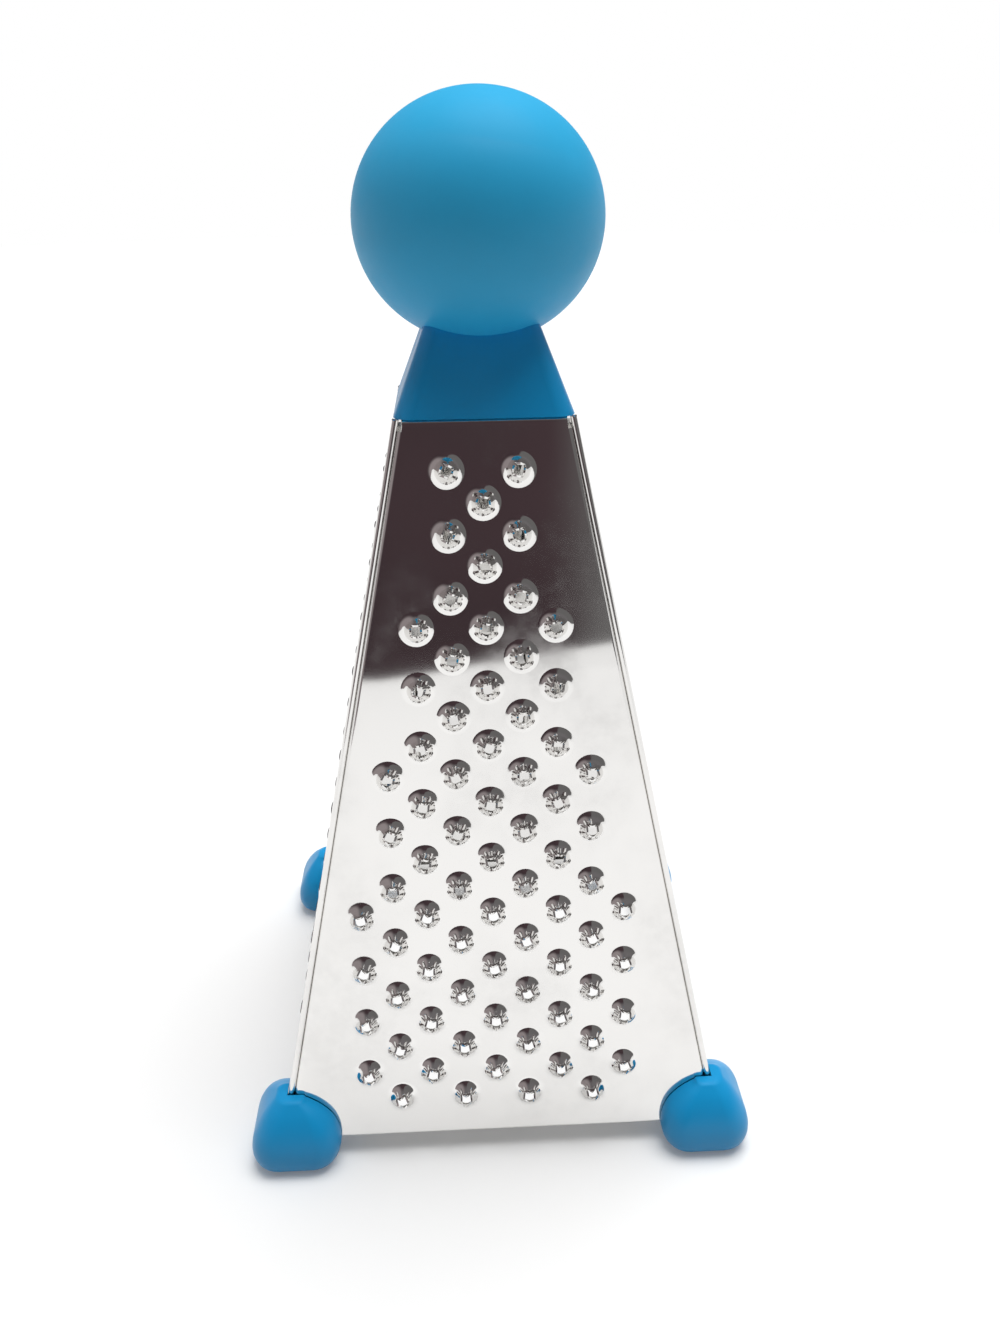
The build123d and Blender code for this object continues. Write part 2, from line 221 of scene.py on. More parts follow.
class GraterFootSizes(bpy.types.PropertyGroup):
    """Sizes of the corner feet."""

    height: length("Height", "From the table to a foot's crest", 9.65 * MM)
    belly_half: length("Belly", "From the axis to the outer face at its widest", 33.25 * MM)
    crest_half: length("Crest", "From the axis to the outer face at the crest", 29.9 * MM)
    end: length("Lobe end", "From the axis to a lobe's end where it is longest", 21.45 * MM)
    end_crest: length("Lobe end at the crest", "The same at the crest", 25.9 * MM)
    corner: length("Corner", "Radius of the outer corner at the belly", 3.4 * MM)
    corner_crest: length("Corner at the crest", "The same at the crest", 1.9 * MM)
    end_round: length("Lobe round", "Radius of a lobe's end, seen from above", 3.2 * MM)
    end_round_crest: length("Lobe round at the crest", "The same at the crest", 0.9 * MM)
    crest_round: length("Crest round", "Radius of the crest's edge", 1.0 * MM)
    inner: length("Inner face", "From the axis to a foot's inner face", 24.85 * MM)
    clearance: length("Clearance", "Between a foot and the outside of the steel", 0.12 * MM)
    slot_width: length("Slot width", "Width of the slot for the steel", 1.7 * MM)
    lift: length("Lift", "The slot's floor above the table", 3.0 * MM)


class GraterColours(bpy.types.PropertyGroup):
    """Colours of the finishes."""

    steel: colour("Steel", "Polished sheet", (0.80, 0.79, 0.775))
    plated: colour("Plated steel", "Plate, washer and screw", (0.60, 0.61, 0.62))
    knob: colour("Ball", "Matte plastic of the ball", (0.020, 0.440, 0.790))
    plastic: colour("Collar and feet", "Satin plastic", (0.003, 0.330, 0.700))


class GraterStageSettings(bpy.types.PropertyGroup):
    """Camera, floor and light."""

    camera_place: standpoint(
        "Camera", "Where the camera stands", (-4.0 * MM, -137.078 * MM, 122.190 * MM)
    )
    heading: bearing("Heading", "Turn to the right of straight ahead", 2.43)
    tilt: bearing("Tilt", "How far the camera looks down", 25.092)
    roll: bearing("Roll", "Turn about the line of sight", -0.765)
    focal: share("Focal share", "Focal length as a share of the picture's width", 1.1, 3.0)
    floor_radius: length("Floor radius", "Of the round table top", 1.8, 4.0)
    floor_shade: share("Floor shade", "Brightness of the floor's own colour", 0.86)
    floor_bounce: share("Floor bounce", "Share of the floor's light that matte surfaces get", 0.65)
    floor_glow: share("Floor glow", "Brightness added where the floor is seen", 0.13)
    # Painted light: where it is seen, the floor under the body glows in place of the light that falls
    # through the holes
    painted_inside_light: share("Inside glow", "The same under the body, where light falls through the holes", 0.95)
    fade_start: length("Fade start", "Where the floor starts to turn plain white", 0.046, 1.0)
    fade_end: length("Fade end", "Where the floor is plain white", 0.105, 1.0)
    ambient: share("Ambient", "Brightness of the room behind, for matte surfaces", 0.42)
    ambient_front: share("Front ambient", "The same in front, where the camera stands", 0.12)
    lamp_place: standpoint(
        "Lamp", "Where the soft light hangs; it points at the foot of the grater", (0.14, 0.10, 0.95)
    )
    lamp_width: length("Lamp width", "Each side of the soft light", 0.7, 2.0)
    lamp_power: share("Lamp power", "Watts of the soft light overhead", 9.6, 20.0)
    dome_shade: colour("Dome", "Colour of the dark dome in front", (0.044, 0.037, 0.041))
    dome_right_shade: colour("Dome right", "Colour of the dome's right part", (0.150, 0.145, 0.145))
    dome_back_shade: colour("Dome back", "Colour of the dome behind", (0.170, 0.160, 0.165))
    dome_left_shade: colour("Dome left", "Colour of the dome's left part", (0.310, 0.270, 0.275))
    dome_radius: length("Dome radius", "Of the dark dome that mirrors show", 1.6, 4.0)


# Finishes of the grater and of the stage


def new_group(name, inputs, outputs):
    """An empty node group with its sockets and its two end nodes."""
    group = bpy.data.node_groups.new(name, "ShaderNodeTree")
    for label, kind, default in inputs:
        socket = group.interface.new_socket(name=label, in_out="INPUT", socket_type=kind)
        socket.default_value = default
    for label, kind in outputs:
        group.interface.new_socket(name=label, in_out="OUTPUT", socket_type=kind)
    start = group.nodes.new("NodeGroupInput")
    end = group.nodes.new("NodeGroupOutput")
    return group, start, end


def feed(tree, value, socket):
    """Gives an input a plain value or links another node's socket to it."""
    if isinstance(value, bpy.types.NodeSocket):
        tree.links.new(value, socket)
    else:
        socket.default_value = value


def math_node(tree, operation, *values):
    """The result of a math node."""
    node = tree.nodes.new("ShaderNodeMath")
    node.operation = operation
    for value, socket in zip(values, node.inputs):
        feed(tree, value, socket)
    return node.outputs["Value"]


def noise_node(tree, place, scale, detail, roughness=0.5):
    """The value of a noise texture at a place."""
    node = tree.nodes.new("ShaderNodeTexNoise")
    settings = {"Vector": place, "Scale": scale, "Detail": detail, "Roughness": roughness}
    for label, value in settings.items():
        feed(tree, value, node.inputs[label])
    return node.outputs["Fac"]


def smooth_range(tree, value, low, high, to_low=0.0, to_high=1.0):
    """Goes smoothly from to_low to to_high while a value goes from low to high."""
    node = tree.nodes.new("ShaderNodeMapRange")
    node.interpolation_type = "SMOOTHSTEP"
    limits = {"From Min": low, "From Max": high, "To Min": to_low, "To Max": to_high}
    for label, limit in limits.items():
        node.inputs[label].default_value = limit
    tree.links.new(value, node.inputs["Value"])
    return node.outputs["Result"]


def mix_node(tree, kind, factor, first, second):
    """A mix of two numbers or of two colours."""
    node = tree.nodes.new("ShaderNodeMix")
    node.data_type = kind
    for label, value in {"Factor": factor, "A": first, "B": second}.items():
        feed(tree, value, node.inputs[label])
    return node.outputs["Result"]


def brightened(tree, tone, factor):
    """A colour times a factor."""
    node = tree.nodes.new("ShaderNodeVectorMath")
    node.operation = "SCALE"
    tree.links.new(tone, node.inputs[0])
    tree.links.new(factor, node.inputs["Scale"])
    return node.outputs["Vector"]


def toned(tint, *factors):
    """A colour with its channels times one factor, or each times its own, and full alpha."""
    if len(factors) == 1:
        factors = factors * 3
    return (*(factor * channel for factor, channel in zip(factors, tint)), 1.0)


def object_coordinates(tree, stretch=(1.0, 1.0, 1.0)):
    """The object's own coordinates, stretched along its axes."""
    coordinates = tree.nodes.new("ShaderNodeTexCoord")
    mapping = tree.nodes.new("ShaderNodeMapping")
    mapping.inputs["Scale"].default_value = stretch
    tree.links.new(coordinates.outputs["Object"], mapping.inputs["Vector"])
    return mapping.outputs["Vector"]


def handling_marks():
    """Soft smudges: a mask from 0, clean, to about 1, smudged, and the roughness to go with it."""
    name = "Handling marks"
    if name in bpy.data.node_groups:
        return bpy.data.node_groups[name]
    group, start, end = new_group(
        name,
        [
            ("Vector", "NodeSocketVector", (0.0, 0.0, 0.0)),
            ("Scale", "NodeSocketFloat", 120.0),
            ("Clean Roughness", "NodeSocketFloat", 0.1),
            ("Smudged Roughness", "NodeSocketFloat", 0.2),
        ],
        [("Mask", "NodeSocketFloat"), ("Roughness", "NodeSocketFloat")],
    )
    given = start.outputs
    broad = noise_node(group, given["Vector"], given["Scale"], 3.0, 0.55)
    speckle_scale = math_node(group, "MULTIPLY", given["Scale"], 9.0)
    speckle = noise_node(group, given["Vector"], speckle_scale, 2.0, 0.6)
    patches = smooth_range(group, broad, 0.42, 0.68)
    speckled = math_node(group, "MULTIPLY", patches, speckle)
    mask = math_node(group, "MULTIPLY", speckled, 1.6)
    roughness = mix_node(group, "FLOAT", mask, given["Clean Roughness"], given["Smudged Roughness"])
    group.links.new(mask, end.inputs["Mask"])
    group.links.new(roughness, end.inputs["Roughness"])
    return group


def moulded_skin():
    """Fine skin of moulded plastic: a height for the bump and a slight mottling of the colour."""
    name = "Moulded skin"
    if name in bpy.data.node_groups:
        return bpy.data.node_groups[name]
    group, start, end = new_group(
        name,
        [
            ("Vector", "NodeSocketVector", (0.0, 0.0, 0.0)),
            ("Grain Scale", "NodeSocketFloat", 3000.0),
            ("Flow Scale", "NodeSocketFloat", 60.0),
            ("Color", "NodeSocketColor", (0.0, 0.2, 0.5, 1.0)),
            ("Mottling", "NodeSocketFloat", 0.1),
        ],
        [("Color", "NodeSocketColor"), ("Height", "NodeSocketFloat")],
    )
    given = start.outputs
    grain = noise_node(group, given["Vector"], given["Grain Scale"], 2.0, 0.6)
    flow = noise_node(group, given["Vector"], given["Flow Scale"], 2.0)
    height = math_node(group, "ADD", grain, math_node(group, "MULTIPLY", flow, 2.0))
    group.links.new(height, end.inputs["Height"])
    about_zero = math_node(group, "SUBTRACT", flow, 0.5)
    swing = math_node(group, "MULTIPLY", about_zero, given["Mottling"])
    mottled = brightened(group, given["Color"], math_node(group, "ADD", swing, 1.0))
    group.links.new(mottled, end.inputs["Color"])
    return group


def new_material(name):
    """A material with its node tree and its shader."""
    material = bpy.data.materials.new(name)
    material.use_nodes = True
    tree = material.node_tree
    return material, tree, tree.nodes["Principled BSDF"]


def place_group(tree, group, place, **values):
    """A node group placed in a material, with its own values."""
    node = tree.nodes.new("ShaderNodeGroup")
    node.node_tree = group
    tree.links.new(place, node.inputs["Vector"])
    for label, value in values.items():
        node.inputs[label.replace("_", " ")].default_value = value
    return node


def mark(tree, shader, place, scale, clean, smudged):
    """Handling marks that feed the shader's roughness; gives their mask."""
    marks = place_group(
        tree,
        handling_marks(),
        place,
        Scale=scale,
        Clean_Roughness=clean,
        Smudged_Roughness=smudged,
    )
    tree.links.new(marks.outputs["Roughness"], shader.inputs["Roughness"])
    return marks.outputs["Mask"]


def bump(tree, shader, height, strength, distance):
    """Feeds a height into the shader's normal."""
    node = tree.nodes.new("ShaderNodeBump")
    node.inputs["Strength"].default_value = strength
    node.inputs["Distance"].default_value = distance
    tree.links.new(height, node.inputs["Height"])
    tree.links.new(node.outputs["Normal"], shader.inputs["Normal"])


def bare_metal(tree, shader, tint, smudged_share, mask):
    """Metal whose smudged parts keep only a share of its brightness."""
    tone = mix_node(tree, "RGBA", mask, toned(tint, 1.0), toned(tint, smudged_share))
    tree.links.new(tone, shader.inputs["Base Color"])
    shader.inputs["Metallic"].default_value = 1.0


def mirror_steel(tint):
    """Mirror-polished sheet: faint rolling lines, a gentle waviness and a few smudges."""
    material, tree, shader = new_material("Mirror steel")
    mask = mark(tree, shader, object_coordinates(tree), 70.0, 0.045, 0.13)
    bare_metal(tree, shader, tint, 0.93, mask)
    waves = noise_node(tree, object_coordinates(tree, (1.0, 1.0, 0.6)), 26.0, 2.0, 0.4)
    lines = noise_node(tree, object_coordinates(tree, (1.0, 1.0, 0.02)), 900.0, 1.0)
    height = math_node(tree, "ADD", waves, math_node(tree, "MULTIPLY", lines, 0.004))
    bump(tree, shader, height, 1.0, 0.12 * MM)
    return material


def plated_steel(tint):
    """Dull zinc plating of the fixing inside."""
    material, tree, shader = new_material("Zinc plated steel")
    place = object_coordinates(tree)
    bare_metal(tree, shader, tint, 0.8, mark(tree, shader, place, 260.0, 0.28, 0.5))
    bump(tree, shader, noise_node(tree, place, 2400.0, 2.0, 0.6), 0.4, 0.02 * MM)
    return material


def moulded_plastic(name, tint, clean, smudged, grain_scale, grain_depth, mottling):
    """Moulded plastic with a fine skin and the handling marks of its own."""
    material, tree, shader = new_material(name)
    place = object_coordinates(tree)
    mark(tree, shader, place, 110.0, clean, smudged)
    skin = place_group(
        tree,
        moulded_skin(),
        place,
        Grain_Scale=grain_scale,
        Flow_Scale=90.0,
        Color=toned(tint, 1.0),
        Mottling=mottling,
    )
    tree.links.new(skin.outputs["Color"], shader.inputs["Base Color"])
    shader.inputs["IOR"].default_value = 1.47
    bump(tree, shader, skin.outputs["Height"], 0.5, grain_depth)
    return material


def seen_directly(tree):
    """1 for what the camera, a mirror or glass sees, and 0 for the light on matte surfaces."""
    path = tree.nodes.new("ShaderNodeLightPath").outputs
    mirrored = math_node(tree, "MAXIMUM", path["Is Camera Ray"], path["Is Glossy Ray"])
    return math_node(tree, "MAXIMUM", mirrored, path["Is Transmission Ray"])


def painted_light_under_body(tree, place, body_width, painted_glow):
    """Painted light: the floor under the body glows in place of the light that falls through the holes,
    and this glow is seen through them.
    """
    apart = tree.nodes.new("ShaderNodeSeparateXYZ")
    tree.links.new(place, apart.inputs["Vector"])
    across = math_node(tree, "ABSOLUTE", apart.outputs["X"])
    along = math_node(tree, "ABSOLUTE", apart.outputs["Y"])
    farther = math_node(tree, "MAXIMUM", across, along)
    edge = body_width / 2
    return smooth_range(tree, farther, 0.93 * edge, 0.80 * edge, to_high=painted_glow)


def white_table_top(stage, body_width):
    """Pale floor that keeps the object's shadow, turns plain white farther out and glows under the body as
    painted light.
    """
    material, tree, shader = new_material("White table top")
    place = object_coordinates(tree)
    plain = (stage.floor_shade, stage.floor_shade, stage.floor_shade)
    mottling = noise_node(tree, place, 14.0, 3.0)
    tone = mix_node(tree, "RGBA", mottling, toned(plain, 1.0), toned(plain, 0.985, 0.985, 0.98))
    shader.inputs["Roughness"].default_value = 0.9
    shader.inputs["Specular IOR Level"].default_value = 0.1
    reach = tree.nodes.new("ShaderNodeVectorMath")
    reach.operation = "LENGTH"
    tree.links.new(place, reach.inputs[0])
    fade = smooth_range(
        tree, reach.outputs["Value"], stage.fade_start, stage.fade_end, stage.floor_glow
    )
    # Painted light under the body, seen through the holes
    inside = painted_light_under_body(tree, place, body_width, stage.painted_inside_light)
    shown = math_node(tree, "MAXIMUM", fade, inside)
    seen = seen_directly(tree)
    feed(tree, math_node(tree, "MULTIPLY", seen, shown), shader.inputs["Emission Strength"])
    shader.inputs["Emission Color"].default_value = (1.0, 1.0, 1.0, 1.0)
    replaced = math_node(tree, "SUBTRACT", shown, stage.floor_glow)
    lost = math_node(tree, "MULTIPLY", seen, replaced)
    unseen = math_node(tree, "SUBTRACT", 1.0, seen)
    dimmed = math_node(tree, "MULTIPLY", unseen, 1.0 - stage.floor_bounce)
    kept = math_node(tree, "SUBTRACT", math_node(tree, "SUBTRACT", 1.0, lost), dimmed)
    feed(tree, brightened(tree, tone, kept), shader.inputs["Base Color"])
    return material


def dark_dome(stage):
    """Glow of the dome: clouded and dark in front, paler at the right, behind and at the left."""
    material, tree, shader = new_material("Dark dome")
    place = object_coordinates(tree)
    apart = tree.nodes.new("ShaderNodeSeparateXYZ")
    tree.links.new(place, apart.inputs["Vector"])
    cloud = noise_node(tree, place, 1.6, 2.0)
    cloud_dark = toned(stage.dome_shade, 0.6)
    cloud_pale = toned(stage.dome_shade, 2.0, 1.45, 1.5)
    whole = mix_node(tree, "RGBA", cloud, cloud_dark, cloud_pale)
    radius = stage.dome_radius
    # Along an axis, each paler part starts and is full at these shares of the radius
    for axis, start, end, shade_there in (
        ("X", 0.085, 0.145, stage.dome_right_shade),
        ("Y", -0.60, 0.10, stage.dome_back_shade),
        ("X", -0.15, -0.60, stage.dome_left_shade),
    ):
        part = smooth_range(tree, apart.outputs[axis], start * radius, end * radius)
        whole = mix_node(tree, "RGBA", part, whole, toned(shade_there, 1.0))
    tree.links.new(whole, shader.inputs["Emission Color"])
    shader.inputs["Emission Strength"].default_value = 1.0
    shader.inputs["Base Color"].default_value = (0.0, 0.0, 0.0, 1.0)
    shader.inputs["Roughness"].default_value = 1.0
    shader.inputs["Specular IOR Level"].default_value = 0.0
    return material


def dress(node, material):
    """Gives a node of the frame its finish."""
    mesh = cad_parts[node].data
    if not mesh.materials:
        mesh.materials.append(material)
    for index in range(len(mesh.materials)):
        mesh.materials[index] = material


# Bent and punched sheets


def taper_of(body):
    """Lean of a face, as an angle."""
    return atan2((body.base_width - body.top_width) / 2, BODY_TOP - BODY_BOTTOM)


def slope_length_of(body):
    """Length of a face from its bottom edge to its top, along the slope."""
    return (BODY_TOP - BODY_BOTTOM) / cos(taper_of(body))


def half_up(body, up):
    """Half the width of the body at a distance up a face."""
    return body.base_width / 2 - up * sin(taper_of(body))


def seam_of(body):
    """Thickness of a seam's fold, and how far in from the body's edge the flat part starts."""
    fold = 2 * body.sheet / cos(taper_of(body))
    return fold, fold + body.seam_bend


def on_face(body, across, up, out=0.0):
    """A point of the front face: across, up the slope and out of the face."""
    lean = taper_of(body)
    return Vector(
        (
            across,
            -body.base_width / 2 + up * sin(lean) - out * cos(lean),
            BODY_BOTTOM + up * cos(lean) + out * sin(lean),
        )
    )


def round_place(body, place, radius, angle, out):
    """A point at an angle and a distance round a place of the front face."""
    across = place[0] + radius * cos(angle)
    up = place[1] + radius * sin(angle)
    return on_face(body, across, up, out)


def staggered(body, pitch, row_step, highest, lowest, edge):
    """Places of a staggered pattern, from the top down, clear of the edges and the feet."""
    places = []
    last_row_share = 0.25
    for row in range(floor((highest - lowest) / row_step + last_row_share) + 1):
        up = highest - row * row_step
        room = min(half_up(body, up) - edge, body.foot_end - body.tooth_clear)
        first = pitch / 2 if row % 2 == 0 else 0.0
        if first > room:
            continue
        for step in range(floor((room - first) / pitch) + 1):
            column = first + pitch * step
            places.append((column, up))
            if column > 0:
                places.append((-column, up))
    return places


def strip(mesh, rows):
    """Quads between rows of points that have the same count."""
    made = [[mesh.verts.new(point) for point in row] for row in rows]
    for low, high in zip(made, made[1:]):
        for index in range(len(low) - 1):
            mesh.faces.new((low[index], low[index + 1], high[index + 1], high[index]))
    return made


def inside_outline(point, outline):
    """Whether a point lies inside a closed outline."""
    inside = False
    x, y = point
    for (x0, y0), (x1, y1) in zip(outline, outline[1:] + outline[:1]):
        if (y0 > y) != (y1 > y) and x < (x1 - x0) * (y - y0) / (y1 - y0) + x0:
            inside = not inside
    return inside


def flat_face(mesh, body, outline, holes):
    """The flat part of a face: its outline less the holes, in (across, up)."""
    # The triangulation works in millimetres and keeps only what lies inside the outline
    inside_only = 1
    closeness = 1e-5
    points = []
    edges = []
    for loop in [outline] + holes:
        start = len(points)
        points += [Vector((x / MM, y / MM)) for x, y in loop]
        edges += [(start + i, start + (i + 1) % len(loop)) for i in range(len(loop))]
    found = delaunay_2d_cdt(points, edges, [], inside_only, closeness)
    places, triangles = found[0], found[2]
    verts = [mesh.verts.new(on_face(body, p.x * MM, p.y * MM)) for p in places]
    boxes = []
    for hole in holes:
        across, up = zip(*hole)
        boxes.append((min(across), max(across), min(up), max(up)))
    for triangle in triangles:
        middle = sum((places[i] for i in triangle), Vector((0.0, 0.0))) / 3
        x, y = middle.x * MM, middle.y * MM
        cut = any(
            left <= x <= right and low <= y <= high and inside_outline((x, y), hole)
            for hole, (left, right, low, high) in zip(holes, boxes)
        )
        if not cut:
            mesh.faces.new([verts[i] for i in triangle])


def hem_and_flange(mesh, body):
    """The folded bottom edge and the turned-in top edge; gives where the flat part ends."""
    inset = seam_of(body)[1]
    nose = body.sheet
    nose_steps = 8
    section = []
    for step in range(nose_steps + 1):
        turn = pi * step / nose_steps
        section.append((nose * (1 - sin(turn)), nose * (cos(turn) - 1)))
    section.append((body.hem_height, -2 * nose))
    hem = []
    for up, out in section:
        half = half_up(body, up) - inset
        hem.append([on_face(body, half, up, out), on_face(body, -half, up, out)])
    strip(mesh, hem)
    lean = taper_of(body)
    bend_steps = 8
    tangent = body.top_bend * tan((pi / 2 - lean) / 2)
    flat_end = slope_length_of(body) - tangent
    centre = on_face(body, 0.0, flat_end, -body.top_bend)
    rows = []
    for step in range(bend_steps + 1):
        angle = lean + (pi / 2 - lean) * step / bend_steps
        point = centre + body.top_bend * Vector((0.0, -cos(angle), sin(angle)))
        half = min(half_up(body, flat_end) - inset, -point.y - body.mitre_gap)
        rows.append([Vector((-half, point.y, point.z)), Vector((half, point.y, point.z))])
    half = rows[-1][1].x
    inner = body.top_width / 2 - body.top_flange
    for y in (-(half + body.mitre_gap), -inner):
        half = min(half, -y - body.mitre_gap)
        rows.append([Vector((-half, y, BODY_TOP)), Vector((half, y, BODY_TOP))])
    strip(mesh, rows)
    return flat_end


def side_edges(mesh, body, section, ends):
    """The same bent edge along both sides of a sheet, from its lower to its upper end."""
    for side in (-1, 1):
        rows = []
        for inward, depth in section:
            row = []
            for up in ends:
                face = on_face(body, 0.0, up)
                across = side * (half_up(body, up) - inward)
                row.append(Vector((across, face.y + depth, face.z)))
            rows.append(row if side < 0 else row[::-1])
        strip(mesh, rows)


def mirrored(corners):
    """A closed outline from its right half."""
    return corners + [(-across, up) for across, up in reversed(corners)]


def lapped_sides(mesh, body):
    """Side edges that are bent back into the seams, and the outline of the flat between them."""
    fold, inset = seam_of(body)
    flat_end = hem_and_flange(mesh, body)
    lap_top = BODY_TOP - body.top_bend - body.top_relief
    lap_up = (lap_top - BODY_BOTTOM) / cos(taper_of(body))
    bend_steps = 8
    section = []
    for step in range(bend_steps + 1):
        turn = pi / 2 * step / bend_steps
        section.append((inset - body.seam_bend * sin(turn), body.seam_bend * (1 - cos(turn))))
    section.append((fold, body.seam_depth))
    side_edges(mesh, body, section, (body.sheet, lap_up))
    return mirrored([(half_up(body, up) - inset, up) for up in (body.sheet, lap_up, flat_end)])


def beaded_sides(mesh, body):
    """Side edges that are folded flat into the seams' beads, and the outline of the flat."""
    fold, inset = seam_of(body)
    nose = fold / 2
    start = body.seam_set_back + nose
    flat_end = hem_and_flange(mesh, body)
    slope = slope_length_of(body)
    nose_steps = 12
    section = []
    for step in range(nose_steps + 1):
        turn = pi * step / nose_steps
        section.append((start - nose * sin(turn), nose * (1 - cos(turn))))
    section.append((body.seam_depth, fold))
    side_edges(mesh, body, section, (body.sheet, slope))
    corners = []
    for inward, up in (
        (inset, body.sheet),
        (start, body.sheet),
        (start, slope),
        (inset, slope),
        (inset, flat_end),
    ):
        corners.append((half_up(body, up) - inward, up))
    return mirrored(corners)


def link_mesh(name, mesh):
    """An object in the scene made of a finished bmesh."""
    data = bpy.data.meshes.new(name)
    mesh.to_mesh(data)
    mesh.free()
    piece = bpy.data.objects.new(name, data)
    bpy.context.scene.collection.objects.link(piece)
    return piece


def settled_mesh(piece):
    """A copy of a piece's mesh as its modifiers leave it."""
    depsgraph = bpy.context.evaluated_depsgraph_get()
    return bpy.data.meshes.new_from_object(piece.evaluated_get(depsgraph))


def shade(piece, crease, flat=None):
    """Smooth shading with creases; the faces that look along flat keep a shading of their own."""
    nearly_one = 0.99999
    mesh = bmesh.new()
    mesh.from_mesh(piece.data)
    for face in mesh.faces:
        face.smooth = True
    for edge in mesh.edges:
        edge.smooth = edge.is_manifold and edge.calc_face_angle(0.0) < crease
        if flat is not None and edge.smooth:
            level = [abs(face.normal.dot(flat)) > nearly_one for face in edge.link_faces]
            edge.smooth = level[0] == level[1]
    mesh.to_mesh(piece.data)
    mesh.free()
    weighted = piece.modifiers.new("Even shading", "WEIGHTED_NORMAL")
    weighted.keep_sharp = True
    weighted.weight = 80
    shaded = settled_mesh(piece)
    piece.modifiers.clear()
    old = piece.data
    piece.data = shaded
    bpy.data.meshes.remove(old)


def finish_sheet(mesh, body, side, thickness_at=None):
    """Gives a punched sheet its thickness, shading and finish, and puts it on its side of the body."""
    bmesh.ops.remove_doubles(mesh, verts=mesh.verts, dist=SHEET_JOIN)
    bmesh.ops.dissolve_degenerate(mesh, edges=mesh.edges, dist=SHEET_JOIN)
    piece = link_mesh(side + "_sheet", mesh)
    thin_data = piece.data
    wall = piece.modifiers.new("Sheet thickness", "SOLIDIFY")
    wall.thickness = body.sheet
    wall.offset = -1.0
    wall.use_quality_normals = True
    if thickness_at is not None:
        group = piece.vertex_groups.new(name="Thickness")
        for vertex in thin_data.vertices:
            group.add([vertex.index], thickness_at(vertex.co), "REPLACE")
        wall.vertex_group = group.name
        wall.thickness_vertex_group = LEAST_THICKNESS
    solid = settled_mesh(piece)
    piece.modifiers.clear()
    piece.vertex_groups.clear()
    piece.data = solid
    bpy.data.meshes.remove(thin_data)
    solid.name = piece.name
    turn = radians(FACES[side])
    solid.transform(Matrix.Rotation(turn, 4, "Z"))
    lean = taper_of(body)
    outward = Vector((sin(turn) * cos(lean), -cos(turn) * cos(lean), sin(lean)))
    shade(piece, radians(SHEET_CREASE), outward)
    piece.data.materials.append(bpy.data.materials["Mirror steel"])
    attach(piece, "root")
    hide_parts(side + "_panel")


def burst_tooth(mesh, body, sizes, place, chance):
    """One burst tooth: the sheet flares up, ever steeper, and tears into four petals."""
    wobble = sizes.unevenness
    foot = sizes.foot_radius
    waist = sizes.waist_radius * (1.0 + 0.06 * wobble * (chance.random() - 0.5))
    turns = [2 * pi * index / sizes.around for index in range(sizes.around)]
    # The flare's section: shares of the way in to the waist and of the waist's rise
    flare = (
        (0.0, 0.0),
        (0.1, 0.012),
        (0.25, 0.05),
        (0.4, 0.12),
        (0.53, 0.235),
        (0.67, 0.41),
        (0.83, 0.68),
        (1.0, 1.0),
    )
    rings = []
    for inward, height in flare:
        radius = foot + (waist - foot) * inward
        out = sizes.waist_rise * height
        rings.append([round_place(body, place, radius, turn, out) for turn in turns + turns[:1]])
    strip(mesh, rings)
    turned = chance.randrange(-2, 3) if wobble > 0 else 0
    for petal in range(4):
        torn_petal(mesh, body, sizes, place, waist, petal, turned, chance)
    return [(place[0] + foot * cos(turn), place[1] + foot * sin(turn)) for turn in turns]


def torn_petal(mesh, body, sizes, place, waist, petal, turned, chance):
    """One petal of a burst tooth: a flat flap that ends in an uneven point."""
    wobble = sizes.unevenness
    base = sizes.waist_rise
    quarter = sizes.around // 4
    middle = quarter // 2
    levels = 6
    tip_rise = sizes.rise * (1.0 - 0.2 * wobble * chance.random())
    tip_reach = sizes.tip_reach * (1.0 + 0.5 * wobble * (chance.random() - 0.55))
    skew = 0.32 * wobble * (chance.random() - 0.5)
    jags = [0.05 * MM * wobble * (chance.random() - 0.5) for _ in range(quarter + 1)]
    rows = []
    for level in range(levels + 1):
        row = []
        for step in range(quarter + 1):
            turn = 2 * pi * (petal * quarter - middle + step + turned) / sizes.around
            off = (step - middle) / middle
            peak = max(0.0, 1.0 - abs(off - skew * (1.0 - off * off)))
            top = base + (tip_rise - base) * peak**0.9
            if 0 < step < quarter:
                top += jags[step]
            out = base + (top - base) * level / levels
            part = (out - base) / (sizes.rise - base)
            reach = sizes.waist_reach + (tip_reach - sizes.waist_reach) * part
            flat = min(reach / cos(off * pi / 4), 1.25 * reach)
            blend = min(1.0, 3.0 * max(0.0, part))
            radius = waist * (1.0 - blend) + flat * blend
            row.append(round_place(body, place, radius, turn, out))
        rows.append(row)
    strip(mesh, rows)


def opening_ahead(across, up, half, gap):
    """Edge of the hole ahead of a mouth, from left to right, with blunted corners."""
    corner = 0.3 * gap
    blunt = 0.3 * corner
    left, right = across - half, across + half
    end = up + gap
    return [
        (left, up),
        (left, end - corner),
        (left + blunt, end - blunt),
        (left + corner, end),
        (right - corner, end),
        (right - blunt, end - blunt),
        (right, end - corner),
        (right, up),
    ]


